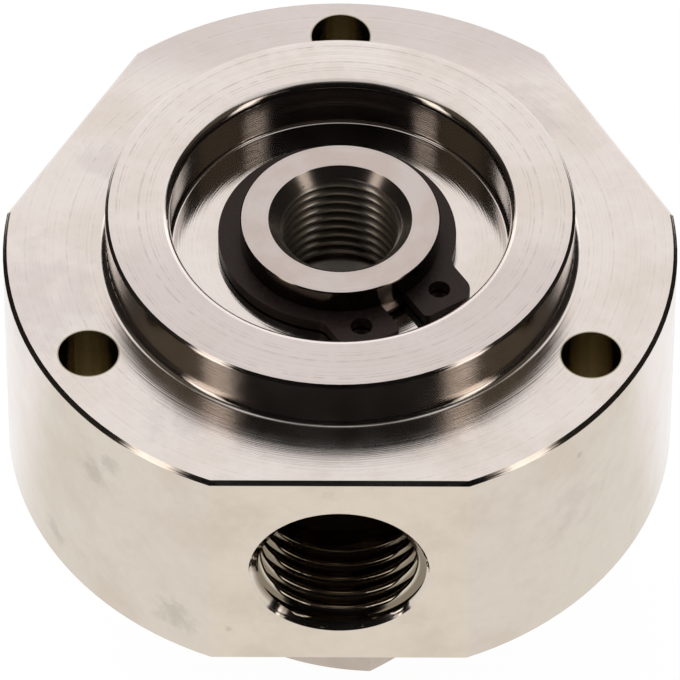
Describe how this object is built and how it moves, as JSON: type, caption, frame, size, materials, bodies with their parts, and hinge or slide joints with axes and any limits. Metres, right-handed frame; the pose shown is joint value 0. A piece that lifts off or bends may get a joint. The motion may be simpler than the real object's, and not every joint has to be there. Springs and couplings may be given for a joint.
{
  "type": "hydraulic rotary union",
  "caption": "Single-passage hydraulic rotary union: flanged housing with side port and locating spigot, around a turning rotor with threaded outlet and wrench hexagon.",
  "frame": {"origin": "centre of the bolt circle, on the rotor's axis in the flange face that meets the machine", "axes": "+Z out of the flange face along the rotor's axis towards the spigot and the outlet; -Y out of the side port"},
  "size_m": [0.054, 0.052, 0.0461],
  "materials": {
    "plated_steel": "bright nickel plate over turned and milled steel",
    "ground_steel": "fine turned and ground",
    "phosphated_spring_steel": "black phosphate, lightly oiled",
    "bronze": "turned, plain",
    "filled_guide_plastic": "matte",
    "filled_seal_plastic": "waxy, matte",
    "nitrile_rubber": "matte"
  },
  "bodies": {
    "housing": {"housing": "plated_steel", "upper_guide_ring": "filled_guide_plastic", "lower_guide_ring": "filled_guide_plastic", "upper_seal_ring": "filled_seal_plastic", "lower_seal_ring": "filled_seal_plastic", "upper_seal_energiser": "nitrile_rubber", "lower_seal_energiser": "nitrile_rubber"},
    "rotor": {"rotor": "ground_steel", "retaining_ring": "phosphated_spring_steel", "thrust_washer": "bronze"}
  },
  "joints": [
    {"name": "rotor_spin", "type": "hinge", "parent": "housing", "child": "rotor", "pos_m": [0, 0, 0], "axis": [0, 0, 1], "continuous": true}
  ]
}
